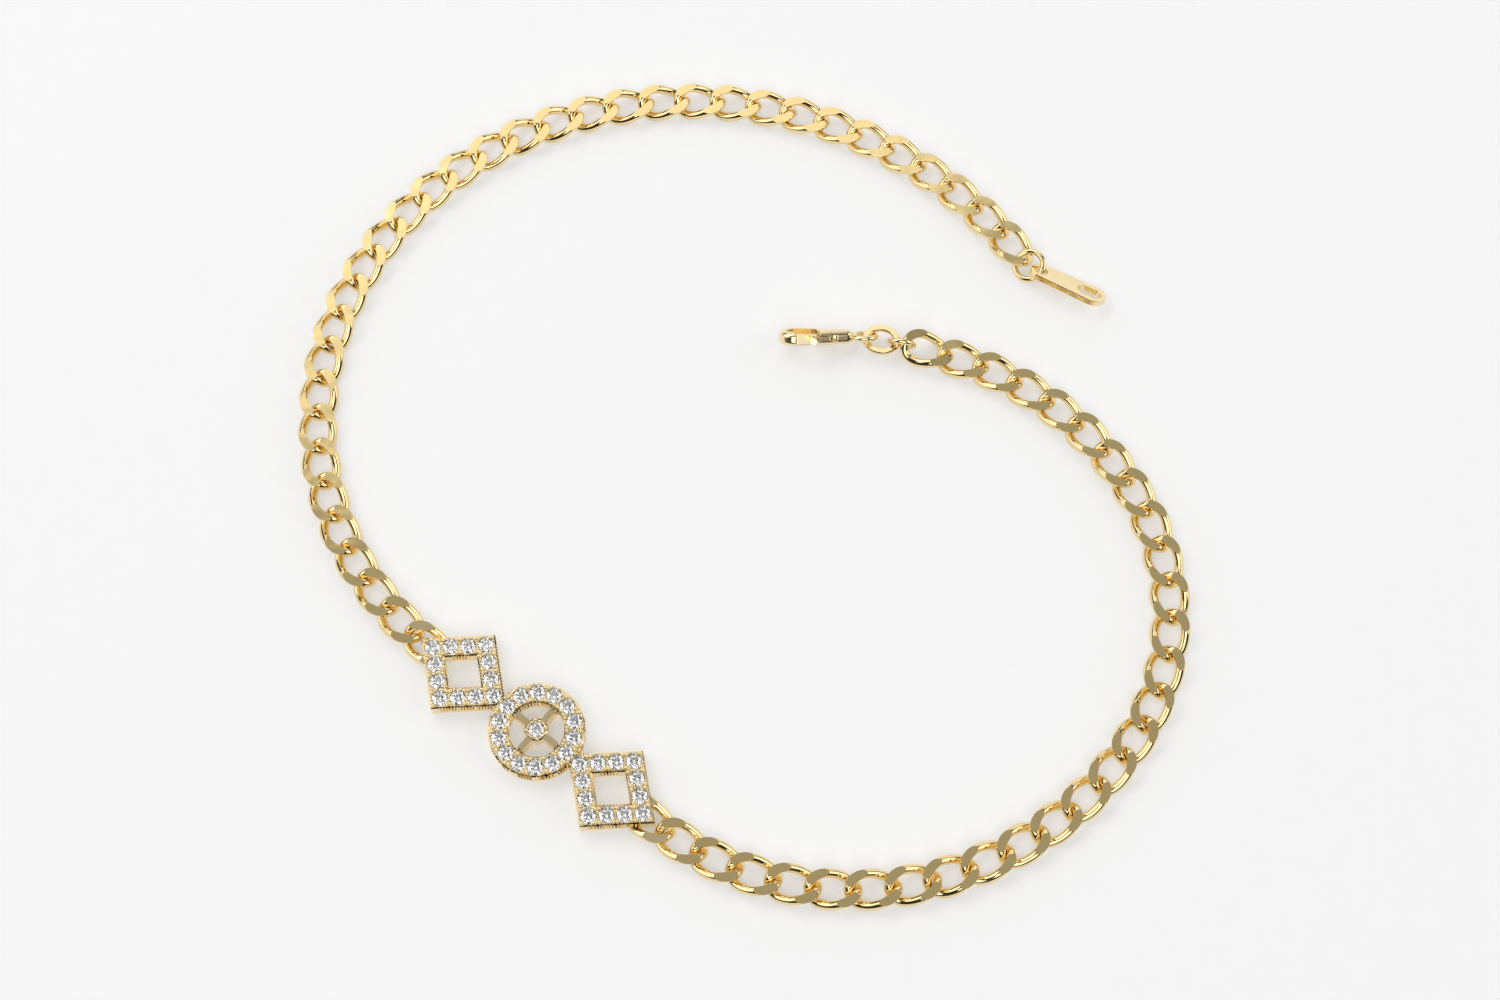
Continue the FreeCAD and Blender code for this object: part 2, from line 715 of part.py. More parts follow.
def make_clasp_lever():
    """A thin web that turns on the rivet, a thicker gate that closes the mouth, and a thumb knob."""
    body = new_body("clasp_lever")
    reach, inside, outside = size("lever_reach"), size("gate_inside"), size("gate_outside")
    gate_start, heel = size("gate_start"), size("heel_radius")
    inner_tip = PIVOT.x + math.sqrt(reach**2 - (inside - PIVOT.y) ** 2)
    outer_tip = PIVOT.x + math.sqrt(reach**2 - (outside - PIVOT.y) ** 2)
    shoulder = outline_height(gate_start)

    sketch = new_sketch(body, "gate_outline")
    circle = Part.Circle(PIVOT, Vector(0, 0, 1), reach)
    start = math.atan2(inside - PIVOT.y, inner_tip - PIVOT.x)
    end = math.atan2(outside - PIVOT.y, outer_tip - PIVOT.x)
    tip = sketch.addGeometry(Part.ArcOfCircle(circle, start, end), False)
    hold_at_pivot(sketch, "tip", tip)
    constrain(sketch, "tip_radius", Sketcher.Constraint("Radius", tip, reach), "Sizes.lever_reach")
    corners = [
        Vector(outer_tip, outside, 0),
        Vector(gate_start, shoulder, 0),
        Vector(gate_start, inside, 0),
        Vector(inner_tip, inside, 0),
    ]
    lines = [
        sketch.addGeometry(Part.LineSegment(here, there), False)
        for here, there in zip(corners, corners[1:])
    ]
    for joint in (
        Sketcher.Constraint("Coincident", tip, 2, lines[0], 1),
        Sketcher.Constraint("Coincident", lines[0], 2, lines[1], 1),
        Sketcher.Constraint("Coincident", lines[1], 2, lines[2], 1),
        Sketcher.Constraint("Coincident", lines[2], 2, tip, 1),
    ):
        sketch.addConstraint(joint)
    pad(body, sketch, "gate", "Sizes.gate_thickness")

    sketch = new_sketch(body, "knob_outline", "XZ_Plane")
    sketch.setExpression("AttachmentOffset.Base.z", "-Sizes.knob_start")
    centre = Vector(size("knob_along"), 0, 0)
    circle = sketch.addGeometry(
        Part.Circle(centre, Vector(0, 0, 1), size("knob_radius")), False
    )
    sketch.addConstraint(Sketcher.Constraint("PointOnObject", circle, 3, -1))
    along = Sketcher.Constraint("DistanceX", -1, 1, circle, 3, centre.x)
    constrain(sketch, "knob_along", along, "Sizes.knob_along")
    radius = Sketcher.Constraint("Radius", circle, size("knob_radius"))
    constrain(sketch, "knob_radius", radius, "Sizes.knob_radius")
    height = "Sizes.knob_top - Sizes.knob_start"
    knob = pad(body, sketch, "knob", height, midplane=False)
    knob.Reversed = True

    sketch = new_sketch(body, "web_outline")
    overlap = (gate_start + size("knob_along")) / 2
    corners = [
        Vector(PIVOT.x, PIVOT.y - heel, 0),
        Vector(overlap, inside, 0),
        Vector(overlap, shoulder, 0),
        Vector(PIVOT.x, PIVOT.y + heel, 0),
    ]
    sketch_polygon(sketch, corners)
    pad(body, sketch, "web", "Sizes.lever_web")
    sketch = new_sketch(body, "heel_outline")
    sketch_pivot_circle(sketch, "heel", heel, "Sizes.heel_radius")
    pad(body, sketch, "heel", "Sizes.lever_web")
    sketch = new_sketch(body, "rivet_hole_outline")
    hole = size("rivet_radius") + size("rivet_clearance")
    sketch_pivot_circle(sketch, "hole", hole, "Sizes.rivet_radius + Sizes.rivet_clearance")
    pocket(body, sketch, "rivet_hole")
    body.Placement = CLASP_POSE
    return body


def outline_height(along):
    """Half the width of the clasp body's tapered outline, a distance from the eyelet."""
    rise = size("nose_radius") - size("tail_radius")
    lean = math.asin(rise / (size("nose_centre") - size("tail_centre")))
    start = size("tail_centre") - size("tail_radius") * math.sin(lean)
    return size("tail_radius") * math.cos(lean) + (along - start) * math.tan(lean)


clasp_body = make_clasp_body()
clasp_lever = make_clasp_lever()


# Check every object and write each sub-part

doc.recompute()
for item in doc.Objects:
    if "Invalid" in item.State or "Error" in item.State:
        raise RuntimeError(f"{item.Name} failed: {item.State}")

SUB_PARTS = [
    nameplate,
    *left_chain,
    *right_chain,
    tag_ring,
    end_tag,
    small_ring,
    oval_ring,
    clasp_body,
    clasp_lever,
]
os.makedirs("parts", exist_ok=True)
for part in SUB_PARTS:
    shape = part.Shape
    if shape.isNull() or not shape.isValid() or len(shape.Solids) != 1:
        raise RuntimeError(f"{part.Label} is not one valid solid")
    print(f"{part.Label}: {shape.Volume:.3f} mm3")
for part in SUB_PARTS:
    part.Shape.exportStep(f"parts/{part.Label}.step")
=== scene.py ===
import math

import bmesh
import bpy
from mathutils import Euler, Matrix, Vector


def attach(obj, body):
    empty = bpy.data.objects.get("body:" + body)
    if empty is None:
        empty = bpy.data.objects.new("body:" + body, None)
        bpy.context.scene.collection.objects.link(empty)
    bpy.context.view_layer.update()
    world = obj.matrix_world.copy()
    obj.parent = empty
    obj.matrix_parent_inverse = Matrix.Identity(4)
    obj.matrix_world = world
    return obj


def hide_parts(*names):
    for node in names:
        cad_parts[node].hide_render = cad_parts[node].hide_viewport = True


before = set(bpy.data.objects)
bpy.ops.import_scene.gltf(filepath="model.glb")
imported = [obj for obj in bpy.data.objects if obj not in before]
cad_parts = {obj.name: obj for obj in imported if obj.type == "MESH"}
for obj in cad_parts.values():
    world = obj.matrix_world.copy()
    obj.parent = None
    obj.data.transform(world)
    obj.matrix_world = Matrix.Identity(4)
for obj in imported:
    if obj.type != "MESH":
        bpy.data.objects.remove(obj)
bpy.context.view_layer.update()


# Curb chain. Each link is drawn wire of yellow gold, bent to an oval, twisted a little and
# soldered shut. The whole chain is then cut flat above and below by a diamond tool, which
# leaves two mirror flats on each face of a link and round polished wire between them. A link is
# drawn a hair thinner than the chain, so that its own small turn stays inside the part's box.

MM = 0.001
LINK_LENGTH = 4.04 * MM
LINK_WIDTH = 2.85 * MM
LINK_WIRE = 0.67 * MM
LINK_TWIST = 0.48 / MM
CHAIN_THICKNESS = 1.04 * MM
LINK_THICKNESS = 1.024 * MM
LINK_PITCH = 2.725 * MM
RUN_SLACK = 0.095 * MM
PLATE_CENTRE = Vector((0.0, -24.6 * MM, 0.0))
PLATE_LINK_REACH = 10.05 * MM
LEFT_RUNS = ((9, -6.7), (8, -6.3), (8, -5.4), (8, -5.1))
RIGHT_RUNS = ((7, 7.0), (7, 6.4), (7, 8.9), (7, 7.1))
END_LINK_LIFT = 0.30 * MM
END_LINK_TILT = math.radians(-10.0)
LINK_STATIONS, LINK_SIDES = 72, 8
SPARE_TURN = tuple(math.radians(angle) for angle in (0.12, 0.10, 0.8))


def linear(colour):
    """An sRGB hex colour as linear red, green, blue and alpha."""
    parts = [int(colour[k : k + 2], 16) / 255 for k in (1, 3, 5)]
    return [c / 12.92 if c <= 0.04045 else ((c + 0.055) / 1.055) ** 2.4 for c in parts] + [1.0]


def add(tree, kind, settings=None, **sockets):
    """A new node. settings are its properties and sockets its inputs, as values or links.

    A socket goes by its name, or by an underscore and its number where several share a name.
    """
    made = tree.nodes.new(kind)
    for name, value in (settings or {}).items():
        setattr(made, name, value)
    for name, value in sockets.items():
        key = int(name[1:]) if name[0] == "_" else name.replace("_", " ")
        socket = made.inputs[key]
        if isinstance(value, bpy.types.NodeSocket):
            tree.links.new(value, socket)
        else:
            socket.default_value = value
    return made


def new_material(name):
    """An empty material and its tree, with the shader's output."""
    material = bpy.data.materials.new(name)
    material.use_nodes = True
    tree = material.node_tree
    tree.nodes.clear()
    return material, tree, add(tree, "ShaderNodeOutputMaterial")


# Clouds of colour about 3 mm wide. A polished face's hairlines are finer than a camera shows,
# so they are drawn 0.04 mm wide and eight times as long.
CLOUDS_PER_MM = 0.35
HAIRS_PER_MM = 28
HAIR_STRETCH = 0.12


def polished_gold(name, light, deep, roughness, spread, ripple, depth):
    """Polished gold: a colour that drifts a little, fine hairlines in the gloss and soft ripples.

    spread is how far the roughness wanders, ripple the size of the polisher's waves in
    millimetres, and depth how high they are.
    """
    material, tree, output = new_material(name)
    place = add(tree, "ShaderNodeTexCoord").outputs["Object"]
    cloud = add(tree, "ShaderNodeTexNoise", Vector=place, Scale=CLOUDS_PER_MM / MM, Detail=2.0)
    tint = add(
        tree,
        "ShaderNodeMix",
        {"data_type": "RGBA"},
        _0=cloud.outputs["Fac"],
        _6=linear(light),
        _7=linear(deep),
    )
    drawn_out = add(tree, "ShaderNodeMapping", Vector=place, Scale=(HAIR_STRETCH, 1.0, 1.0))
    hairs = add(
        tree,
        "ShaderNodeTexNoise",
        Vector=drawn_out.outputs[0],
        Scale=HAIRS_PER_MM / MM,
        Detail=3.0,
    )
    gloss = add(
        tree,
        "ShaderNodeMapRange",
        Value=hairs.outputs["Fac"],
        _1=0.3,
        _2=0.75,
        _3=roughness,
        _4=roughness + spread,
    )
    waves = add(tree, "ShaderNodeTexNoise", Vector=place, Scale=1 / (ripple * MM), Detail=1.0)
    bump = add(
        tree,
        "ShaderNodeBump",
        Height=waves.outputs["Fac"],
        Strength=1.0,
        Distance=depth * MM,
    )
    shader = add(
        tree,
        "ShaderNodeBsdfPrincipled",
        Base_Color=tint.outputs[2],
        Metallic=1.0,
        Roughness=gloss.outputs[0],
        Normal=bump.outputs[0],
    )
    tree.links.new(shader.outputs[0], output.inputs[0])
    return material


# Drawn gold wire, tumbled bright: almost a mirror, with long soft waves from the tumbling.
wire_gold = polished_gold("drawn_gold_wire", "#f7e0ac", "#f0d69c", 0.03, 0.03, 0.6, 0.0012)
# Diamond-cut gold: the tool leaves a mirror flat with faint lines. It isn't quite true, so its
# reflection shades from one end to the other.
cut_gold = polished_gold("diamond_cut_gold", "#efd89c", "#e9ce90", 0.07, 0.05, 1.4, 0.020)


def link_mesh(name, length, width, wire, twist, thickness, stations, sides, band=4):
    """A closed wire loop on a twisted oval, cut flat at half its thickness above and below.

    Each cross-section is a circle whose top and bottom are cut off. band is how many faces
    cross each flat, and sides how many round each side of the wire. Faces on the flats are
    marked by the attribute cut_flat.
    """
    half = thickness / 2
    radius = wire / 2
    # Where the cut would only graze the wire, it stays round but for a narrow band.
    uncut, narrowest = math.sin(math.radians(83)), math.sin(math.radians(80))
    a, b = (length - wire) / 2, (width - wire) / 2
    rows, cut = [], []
    for k in range(stations):
        t = 2 * math.pi * k / stations
        x, y = a * math.cos(t), b * math.sin(t)
        centre = Vector((x, y, -twist * x * y))
        dx, dy = -a * math.sin(t), b * math.cos(t)
        along = Vector((dx, dy, -twist * (dx * y + x * dy))).normalized()
        across = Vector((along.y, -along.x, 0)).normalized()
        up = across.cross(along)
        limits, flags = [], []
        for sign in (1, -1):
            reach = (sign * half - centre.z) * sign / (radius * up.z)
            limits.append(math.asin(max(-1.0, min(reach, uncut))))
            flags.append(reach < narrowest)
        top, low = limits
        row = []
        for start, end, count, level in (
            (-low, top, sides, None),
            (top, math.pi - top, band, (half, flags[0])),
            (math.pi - top, math.pi + low, sides, None),
            (math.pi + low, 2 * math.pi - low, band, (-half, flags[1])),
        ):
            for s in range(count):
                angle = start + (end - start) * s / count
                if level and level[1] and s:
                    first, last = math.cos(start), math.cos(end)
                    offset = first + (last - first) * s / count
                    rise = (level[0] - centre.z) / up.z
                    row.append(centre + across * radius * offset + up * rise)
                else:
                    row.append(
                        centre + across * radius * math.cos(angle) + up * radius * math.sin(angle)
                    )
        rows.append(row)
        cut.append(flags)
    ring = len(rows[0])
    mesh = bpy.data.meshes.new(name)
    faces = [
        (
            k * ring + j,
            (k + 1) % stations * ring + j,
            (k + 1) % stations * ring + (j + 1) % ring,
            k * ring + (j + 1) % ring,
        )
        for k in range(stations)
        for j in range(ring)
    ]
    mesh.from_pydata([v for row in rows for v in row], [], faces)
    mesh.shade_smooth()
    flat = mesh.attributes.new("cut_flat", "BOOLEAN", "FACE")
    for face in mesh.polygons:
        k, j = divmod(face.index, ring)
        side = 0 if sides <= j < sides + band else 1 if j >= 2 * sides + band else None
        ends = (cut[k], cut[(k + 1) % stations])
        flat.data[face.index].value = side is not None and all(end[side] for end in ends)
    bm = bmesh.new()
    bm.from_mesh(mesh)
    layer = bm.faces.layers.bool["cut_flat"]
    for edge in bm.edges:
        kinds = {face[layer] for face in edge.link_faces}
        edge.smooth = len(kinds) == 1
    bmesh.ops.recalc_face_normals(bm, faces=bm.faces)
    bm.to_mesh(mesh)
    bm.free()
    return mesh


def new_object(name, mesh):
    piece = bpy.data.objects.new(name, mesh)
    bpy.context.scene.collection.objects.link(piece)
    return piece


def settled(piece, name):
    """The piece's mesh with its modifiers worked in, as a plain object. The first is removed."""
    graph = bpy.context.evaluated_depsgraph_get()
    mesh = bpy.data.meshes.new_from_object(piece.evaluated_get(graph))
    bpy.data.objects.remove(piece)
    mesh.name = name
    return new_object(name, mesh)


def points_object(name, points, turns):
    """Loose points that each carry a turn, for a tree that repeats a piece on them."""
    mesh = bpy.data.meshes.new(name)
    mesh.from_pydata(points, [], [])
    turn = mesh.attributes.new("turn", "FLOAT_VECTOR", "POINT")
    for item, value in zip(turn.data, turns):
        item.vector = value
    return new_object(name, mesh)


def repeat_tree(name, materials, flats=None):
    """A tree that sets one piece on every point, each with a little turn and size of its own.

    Faces marked by the attribute flats take the second material.
    """
    tree = bpy.data.node_groups.new(name, "GeometryNodeTree")
    for label, direction, kind in (
        ("Points", "INPUT", "Geometry"),
        ("Piece", "INPUT", "Object"),
        ("Spare Turn", "INPUT", "Vector"),
        ("Size Spread", "INPUT", "Float"),
        ("Seed", "INPUT", "Int"),
        ("Made", "OUTPUT", "Geometry"),
    ):
        tree.interface.new_socket(label, in_out=direction, socket_type=f"NodeSocket{kind}")
    given = add(tree, "NodeGroupInput").outputs
    turn = add(tree, "GeometryNodeInputNamedAttribute", {"data_type": "FLOAT_VECTOR"}, Name="turn")
    low = add(
        tree, "ShaderNodeVectorMath", {"operation": "SCALE"}, _0=given["Spare Turn"], Scale=-1.0
    )
    wander = add(
        tree,
        "FunctionNodeRandomValue",
        {"data_type": "FLOAT_VECTOR"},
        _0=low.outputs[0],
        _1=given["Spare Turn"],
        Seed=given["Seed"],
    )
    total = add(tree, "ShaderNodeVectorMath", _0=turn.outputs[0], _1=wander.outputs[0])
    least = add(tree, "ShaderNodeMath", {"operation": "SUBTRACT"}, _0=1.0, _1=given["Size Spread"])
    scale = add(
        tree,
        "FunctionNodeRandomValue",
        {"data_type": "FLOAT"},
        _2=least.outputs[0],
        _3=1.0,
        Seed=given["Seed"],
    )
    source = add(tree, "GeometryNodeObjectInfo", Object=given["Piece"])
    spread = add(
        tree,
        "GeometryNodeInstanceOnPoints",
        Points=given["Points"],
        Instance=source.outputs["Geometry"],
        Rotation=total.outputs[0],
        Scale=scale.outputs[1],
    )
    real = add(tree, "GeometryNodeRealizeInstances", Geometry=spread.outputs[0])
    painted = add(
        tree, "GeometryNodeSetMaterial", Geometry=real.outputs[0], Material=materials[0]
    )
    if flats:
        marked = add(tree, "GeometryNodeInputNamedAttribute", {"data_type": "BOOLEAN"}, Name=flats)
        painted = add(
            tree,
            "GeometryNodeSetMaterial",
            Geometry=painted.outputs[0],
            Selection=marked.outputs[0],
            Material=materials[1],
        )
    add(tree, "NodeGroupOutput", Made=painted.outputs[0])
    return tree


def repeated(name, tree, points, turns, piece, spare=(0, 0, 0), spread=0.0, seed=0):
    """A tree's result on a set of points, as a plain mesh object."""
    holder = points_object(f"{name}_points", points, turns)
    modifier = holder.modifiers.new("repeat", "NODES")
    modifier.node_group = tree
    given = {"Piece": piece, "Spare Turn": spare, "Size Spread": spread, "Seed": seed}
    for item in tree.interface.items_tree:
        if item.in_out == "INPUT" and item.name in given:
            modifier[item.identifier] = given[item.name]
    return settled(holder, name)


def walk_chain(direction, runs):
    """The place and heading of every link, one list per run, from the nameplate outwards."""
    point = PLATE_CENTRE + Vector((direction * PLATE_LINK_REACH, 0, CHAIN_THICKNESS / 2))
    heading = 0.0 if direction > 0 else math.pi
    for count, turn in runs:
        turn = math.radians(turn)
        links = []
        for number in range(count):
            step = LINK_PITCH - (0 if number else RUN_SLACK)
            way = heading + turn / 2
            point = point + Vector((math.cos(way), math.sin(way), 0)) * step
            heading += turn
            links.append((point, heading))
        yield links


link_shape = (LINK_LENGTH, LINK_WIDTH, LINK_WIRE, LINK_TWIST, LINK_THICKNESS)
link = new_object("one_link", link_mesh("one_link", *link_shape, LINK_STATIONS, LINK_SIDES))
link_tree = repeat_tree("links_along_a_run", (wire_gold, cut_gold), "cut_flat")
for side, direction, runs in (("left", -1, LEFT_RUNS), ("right", 1, RIGHT_RUNS)):
    for number, links in enumerate(walk_chain(direction, runs), start=1):
        points = [point for point, heading in links]
        turns = [Vector((0, 0, heading)) for point, heading in links]
        if side == "right" and number == len(runs):
            points[-1] = points[-1] + Vector((0, 0, END_LINK_LIFT))
            turns[-1].y = END_LINK_TILT
        run = repeated(
            f"{side}_run_{number}",
            link_tree,
            points,
            turns,
            link,
            spare=SPARE_TURN,
            seed=number + 10 * (direction > 0),
        )
        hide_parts(f"chain_{side}_{number}")
        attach(run, "bracelet")


# Nameplate. A cast gold plate, 1.2 mm thick: a spoked ring between two open lozenges, each one
# strip wide. Its top is drilled for the stones and the graver has cut six notches to a stone down
# its edges. Half a curb link is soldered to each end.

PLATE_THICKNESS = 1.20 * MM
STRIP_WIDTH = 1.45 * MM
RING_RADIUS = 2.65 * MM
STONE_PITCH = 1.24 * MM
STONES_PER_SIDE = 3
LOZENGE_RISE = 2.46 * MM
BOSS_RADIUS = 0.80 * MM
SPOKE_WIDTH = 0.50 * MM
RING_STONES = 14
EDGE_CHAMFER = 0.10 * MM
STONE_RADIUS = 0.56 * MM
GIRDLE_HEIGHT = 1.17 * MM
SOLDER_DEPTH = 1.10 * MM

LOZENGE_SIDE = STONES_PER_SIDE * STONE_PITCH
LOZENGE_RUN = math.sqrt(LOZENGE_SIDE**2 - LOZENGE_RISE**2)
LOZENGE_LEAN = math.atan2(LOZENGE_RISE, LOZENGE_RUN)
LOZENGE_CENTRE = RING_RADIUS + STONE_PITCH + LOZENGE_RUN


def loop_prism(name, outline, width, top, chamfer):
    """A closed strip of rectangular section with its two top edges chamfered.

    outline gives the strip's corners for an offset from its middle line.
    """
    half = width / 2
    section = (
        (-half, 0.0),
        (-half, top - chamfer),
        (chamfer - half, top),
        (half - chamfer, top),
        (half, top - chamfer),
        (half, 0.0),
    )
    rows = [[Vector((x, y, z)) for x, y in outline(offset)] for offset, z in section]
    count = len(rows[0])
    mesh = bpy.data.meshes.new(name)
    mesh.from_pydata(
        [v + PLATE_CENTRE for row in rows for v in row],
        [],
        [
            (
                k * count + j,
                k * count + (j + 1) % count,
                (k + 1) % 6 * count + (j + 1) % count,
                (k + 1) % 6 * count + j,
            )
            for k in range(6)
            for j in range(count)
        ],
    )
    return mesh


def solid_prism(name, corners, top, chamfer):
    """A convex outline raised to a height, with its top edge chamfered."""
    middle = sum((Vector(c) for c in corners), Vector((0, 0))) / len(corners)
    arms = [Vector(c) - middle for c in corners]
    inset = [middle + arm * (1 - chamfer / arm.length) for arm in arms]
    count = len(corners)
    rows = [
        [Vector((*c, 0)) for c in corners],
        [Vector((*c, top - chamfer)) for c in corners],
        [Vector((*c, top)) for c in inset],
    ]
    faces = []
    for low, high in ((0, count), (count, 2 * count)):
        for j in range(count):
            after = (j + 1) % count
            faces.append((low + j, low + after, high + after, high + j))
    faces += [tuple(range(count))[::-1], tuple(range(2 * count, 3 * count))]
    mesh = bpy.data.meshes.new(name)
    mesh.from_pydata([v + PLATE_CENTRE for row in rows for v in row], [], faces)
    return mesh


def ring_outline(offset):
    """The ring's outline for an offset from its middle line."""
    radius = RING_RADIUS + offset
    steps = 112
    return [
        (radius * math.cos(2 * math.pi * k / steps), radius * math.sin(2 * math.pi * k / steps))
        for k in range(steps)
    ]


def lozenge_outline(centre, offset):
    """A lozenge's four corners for an offset from its middle line."""
    run = LOZENGE_RUN + offset / math.sin(LOZENGE_LEAN)
    rise = LOZENGE_RISE + offset / math.cos(LOZENGE_LEAN)
    return [(centre + run, 0), (centre, rise), (centre - run, 0), (centre, -rise)]


def lozenge_stones(centre):
    """Stone places round a lozenge, in order, as (x, y)."""
    corners = [Vector(c) for c in lozenge_outline(centre, 0)]
    return [
        start.lerp(end, k / STONES_PER_SIDE)
        for start, end in zip(corners, corners[1:] + corners[:1])
        for k in range(STONES_PER_SIDE)
    ]


ring_turns = [2 * math.pi * k / RING_STONES for k in range(RING_STONES)]
ring_stones = [Vector((math.cos(turn), math.sin(turn))) * RING_RADIUS for turn in ring_turns]
left_stones = lozenge_stones(-LOZENGE_CENTRE)
right_stones = lozenge_stones(LOZENGE_CENTRE)
stone_places = [*ring_stones, *left_stones, *right_stones, Vector((0, 0))]


def turned_profile(bm, centre, profile, steps):
    """Adds a closed turned shape to a mesh: profile is (radius, height) from the top down."""
    rows = [
        [
            bm.verts.new(
                (
                    centre.x + radius * math.cos(2 * math.pi * k / steps),
                    centre.y + radius * math.sin(2 * math.pi * k / steps),
                    height,
                )
            )
            for k in range(steps)
        ]
        for radius, height in profile
    ]
    for upper, lower in zip(rows, rows[1:]):
        for k in range(steps):
            bm.faces.new((upper[k], lower[k], lower[(k + 1) % steps], upper[(k + 1) % steps]))
    bm.faces.new(rows[0])
    bm.faces.new(rows[-1][::-1])


def cutter(name, build):
    """A tool for the boolean cuts, from a function that adds its closed shapes to a mesh."""
    bm = bmesh.new()
    build(bm)
    bmesh.ops.recalc_face_normals(bm, faces=bm.faces)
    mesh = bpy.data.meshes.new(name)
    bm.to_mesh(mesh)
    bm.free()
    return new_object(name, mesh)


def seats(bm):
    """Seats for the stones: a bearing at the girdle, a cone and a hole through the back."""
    for place in stone_places:
        profile = (
            (STONE_RADIUS * 1.04, PLATE_THICKNESS + 0.1 * MM),
            (STONE_RADIUS * 1.02, GIRDLE_HEIGHT - 0.05 * MM),
            (STONE_RADIUS * 0.55, GIRDLE_HEIGHT - 0.50 * MM),
            (STONE_RADIUS * 0.55, -0.1 * MM),
        )
        turned_profile(bm, PLATE_CENTRE + Vector((*place, 0)), profile, 20)


def gaps_of(places):
    """The middle of each gap between neighbours in a closed row, and the row's direction there."""
    for here, there in zip(places, places[1:] + places[:1]):
        yield (here + there) / 2, (there - here).normalized()


def notches(bm):
    """Six V cuts to a stone down each edge, the ones between two stones the deepest.

    The inside edges of a lozenge have none next to its corners.
    """
    floor, half = 0.36 * MM, 0.058 * MM
    step = STONE_PITCH / 6
    depths = (0.09, 0.11, 0.16, 0.22, 0.16, 0.11)
    cuts = [((k - 3) * step, depth * MM) for k, depth in enumerate(depths)]
    for places in (ring_stones, left_stones, right_stones):
        for number, (middle, along) in enumerate(gaps_of(places)):
            across = Vector((along.y, -along.x))
            cornered = places is not ring_stones and number % STONES_PER_SIDE != 1
            signs = (1,) if cornered else (1, -1)
            for sign, (shift, reach) in ((a, b) for a in signs for b in cuts):
                edge = middle + along * shift + across * sign * STRIP_WIDTH / 2
                plan = (
                    edge - across * sign * reach,
                    edge + across * sign * reach / 2 + along * half * 1.5,
                    edge + across * sign * reach / 2 - along * half * 1.5,
                )
                low, high = (
                    [bm.verts.new(PLATE_CENTRE + Vector((*p, height))) for p in plan]
                    for height in (floor, PLATE_THICKNESS * 1.2)
                )
                bm.faces.new(low)
                bm.faces.new(high)
                for k in range(3):
                    bm.faces.new((low[k], low[(k + 1) % 3], high[(k + 1) % 3], high[k]))


seat_cutter = cutter("seat_cutter", seats)
notch_cutter = cutter("notch_cutter", notches)
boss_outline = [
    (BOSS_RADIUS * math.cos(math.pi * k / 24), BOSS_RADIUS * math.sin(math.pi * k / 24))
    for k in range(48)
]
spoke_outlines = []
for quarter in range(4):
    turn = Matrix.Rotation(math.pi / 2 * quarter, 2)
    start, end, half = BOSS_RADIUS * 0.8, RING_RADIUS - STRIP_WIDTH * 0.4, SPOKE_WIDTH / 2
    plan = [Vector(c) for c in ((start, -half), (end, -half), (end, half), (start, half))]
    spoke_outlines.append([tuple(turn @ corner) for corner in plan])
bodies = [
    loop_prism("ring", ring_outline, STRIP_WIDTH, PLATE_THICKNESS, EDGE_CHAMFER),
    *(
        loop_prism(
            "lozenge",
            lambda offset, centre=centre: lozenge_outline(centre, offset),
            STRIP_WIDTH,
            PLATE_THICKNESS,
            EDGE_CHAMFER,
        )
        for centre in (-LOZENGE_CENTRE, LOZENGE_CENTRE)
    ),
    solid_prism("boss", boss_outline, PLATE_THICKNESS, EDGE_CHAMFER),
    *(solid_prism("spoke", plan, PLATE_THICKNESS * 0.97, EDGE_CHAMFER) for plan in spoke_outlines),
]
plate_bm = bmesh.new()
for mesh in bodies:
    bm = bmesh.new()
    bm.from_mesh(mesh)
    bmesh.ops.recalc_face_normals(bm, faces=bm.faces)
    bm.to_mesh(mesh)
    bm.free()
    part = new_object(mesh.name, mesh)
    for tool in (seat_cutter, notch_cutter):
        cut = part.modifiers.new("cut", "BOOLEAN")
        cut.operation = "DIFFERENCE"
        cut.solver = "EXACT"
        cut.use_self = True
        cut.object = tool
    part = settled(part, "cut_part")
    plate_bm.from_mesh(part.data)
    bpy.data.objects.remove(part)
for direction in (1, -1):
    half_link = bmesh.new()
    half_link.from_mesh(link.data)
    bmesh.ops.bisect_plane(
        half_link,
        geom=[*half_link.verts, *half_link.edges, *half_link.faces],
        plane_co=(-SOLDER_DEPTH, 0, 0),
        plane_no=(-1, 0, 0),
        clear_outer=True,
    )
    open_edges = [edge for edge in half_link.edges if edge.is_boundary]
    bmesh.ops.holes_fill(half_link, edges=open_edges)
    place = PLATE_CENTRE + Vector((direction * PLATE_LINK_REACH, 0, CHAIN_THICKNESS / 2))
    half_link.transform(
        Matrix.Translation(place) @ Matrix.Rotation(0.0 if direction > 0 else math.pi, 4, "Z")
    )
    spare = bpy.data.meshes.new("half_link")
    half_link.to_mesh(spare)
    half_link.free()
    plate_bm.from_mesh(spare)
plate_mesh = bpy.data.meshes.new("set_plate")
plate_bm.to_mesh(plate_mesh)
plate_bm.free()
plate_mesh.shade_smooth()
plate_mesh.set_sharp_from_angle(angle=math.radians(35))
for tool in (seat_cutter, notch_cutter):
    bpy.data.objects.remove(tool)

# Cast gold, filed, lapped and polished by hand: softer than the wire, with fine file marks.
plate_gold = polished_gold("cast_polished_gold", "#fdeaba", "#f6dca4", 0.06, 0.05, 0.2, 0.0012)
